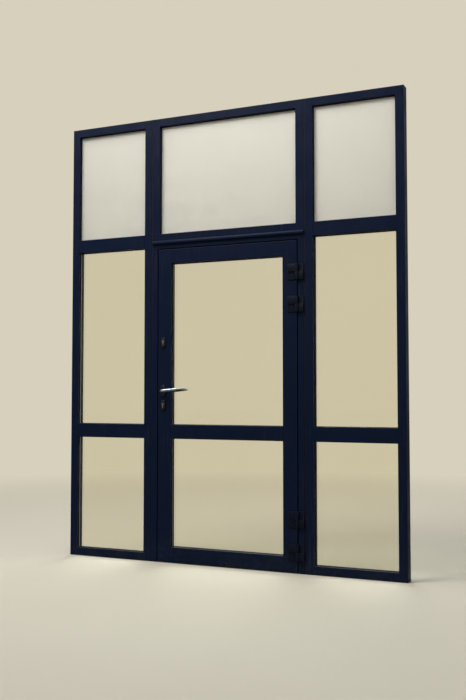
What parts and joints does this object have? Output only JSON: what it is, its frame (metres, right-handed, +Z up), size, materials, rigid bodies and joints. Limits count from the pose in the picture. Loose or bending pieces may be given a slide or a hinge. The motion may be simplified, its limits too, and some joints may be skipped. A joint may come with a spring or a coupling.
{
  "type": "glazed entrance door with side screens",
  "caption": "Outward-opening glazed aluminium door hung in its frame between side screens, with frosted lights above, barrel hinges, lever and locks.",
  "frame": {"origin": "underside of the threshold, at the middle of the width and of the depth", "axes": "+X to the right seen from outside, +Y into the building, +Z up"},
  "size_m": [2.304, 0.17, 2.895],
  "materials": {
    "navy_profiles": "dark navy satin powder coat",
    "threshold_metal": "dark powder coat, worn on top",
    "strip_black": "matt black strip",
    "clear_glass": "clear float glass",
    "frosted_glass": "white satin-etched glass",
    "gasket_black": "matt black gasket",
    "spacer_grey": "matt grey spacer bar",
    "block_plastic": "moulded packer",
    "cleat_metal": "bare extruded aluminium",
    "hinge_coat": "dark navy satin coat",
    "plated_steel": "zinc plated steel",
    "stainless": "brushed stainless steel",
    "bush_black": "black bearing plastic",
    "lever_satin": "satin stainless lever",
    "rose_grey": "dark satin plate",
    "cylinder_nickel": "satin nickel plated"
  },
  "bodies": {
    "frame": {"side_left_outer_jamb": "navy_profiles", "side_left_inner_jamb": "navy_profiles", "side_left_transom": "navy_profiles", "side_left_mid_rail": "navy_profiles", "side_right_outer_jamb": "navy_profiles", "side_right_inner_jamb": "navy_profiles", "side_right_transom": "navy_profiles", "side_right_mid_rail": "navy_profiles", "side_heads": "navy_profiles", "side_sills": "navy_profiles", "toplight_jambs": "navy_profiles", "toplight_head": "navy_profiles", "toplight_sill": "navy_profiles", "door_frame_lock_jamb": "navy_profiles", "door_frame_hinge_jamb": "navy_profiles", "door_frame_head": "navy_profiles", "threshold": "threshold_metal", "stop_seal": "gasket_black", "coupling_strips": "strip_black", "drip_bar": "navy_profiles", "strike_plates": "stainless", "sidelight_glass": "clear_glass", "toplight_glass": "frosted_glass", "fixed_spacers": "spacer_grey", "fixed_setting_blocks": "block_plastic", "fixed_gaskets": "gasket_black", "fixed_beads": "navy_profiles", "frame_cleats": "cleat_metal", "hinge_frame_wings": "hinge_coat", "hinge_pins": "plated_steel", "frame_screws": "plated_steel"},
    "leaf": {"leaf_lock_stile": "navy_profiles", "leaf_hinge_stile": "navy_profiles", "leaf_top_rail": "navy_profiles", "leaf_bottom_rail": "navy_profiles", "leaf_mid_rail": "navy_profiles", "leaf_cleats": "cleat_metal", "leaf_glass": "clear_glass", "leaf_spacers": "spacer_grey", "leaf_setting_blocks": "block_plastic", "leaf_gaskets": "gasket_black", "leaf_beads": "navy_profiles", "hinge_leaf_wings": "hinge_coat", "hinge_bushes": "bush_black", "lock_cases": "plated_steel", "lock_face_plates": "stainless", "lock_cylinders": "cylinder_nickel", "lever_roses": "rose_grey", "cylinder_escutcheons": "rose_grey", "leaf_screws": "plated_steel"},
    "lever": {"outside_lever": "lever_satin", "inside_lever": "lever_satin", "lever_spindle": "plated_steel", "lock_follower": "plated_steel"},
    "latch": {"latch_bolt": "stainless"},
    "main_bolt": {"main_dead_bolt": "stainless"},
    "upper_bolt": {"upper_dead_bolt": "stainless"},
    "main_core": {"main_cylinder_core": "cylinder_nickel"},
    "upper_core": {"upper_cylinder_core": "cylinder_nickel"}
  },
  "joints": [
    {"name": "leaf_swing", "type": "hinge", "parent": "frame", "child": "leaf", "pos_m": [0.48425, -0.0475, 0], "axis": [0, 0, 1], "range_deg": [0, 110]},
    {"name": "lever_turn", "type": "hinge", "parent": "leaf", "child": "lever", "pos_m": [-0.4415, -0.005, 1.101], "axis": [0, 1, 0], "range_deg": [0, 40], "stiffness_Nm_per_rad": 1.2, "springref_deg": -34.38},
    {"name": "latch_slide", "type": "slide", "parent": "leaf", "child": "latch", "axis": [1, 0, 0], "range_m": [0, 0.0115]},
    {"name": "main_key_turn", "type": "hinge", "parent": "leaf", "child": "main_core", "pos_m": [-0.4415, -0.005, 1.016], "axis": [0, 1, 0], "range_deg": [0, 360]},
    {"name": "main_bolt_slide", "type": "slide", "parent": "leaf", "child": "main_bolt", "axis": [-1, 0, 0], "range_m": [0, 0.02]},
    {"name": "upper_key_turn", "type": "hinge", "parent": "leaf", "child": "upper_core", "pos_m": [-0.4415, -0.005, 1.422], "axis": [0, 1, 0], "range_deg": [0, 360]},
    {"name": "upper_bolt_slide", "type": "slide", "parent": "leaf", "child": "upper_bolt", "axis": [-1, 0, 0], "range_m": [0, 0.02]}
  ],
  "couplings": [
    {"joint": "latch_slide", "follows": "lever_turn", "m_per_rad": 0.01647},
    {"joint": "main_key_turn", "follows": "main_bolt_slide", "rad_per_m": 314.15},
    {"joint": "upper_key_turn", "follows": "upper_bolt_slide", "rad_per_m": 314.15}
  ]
}
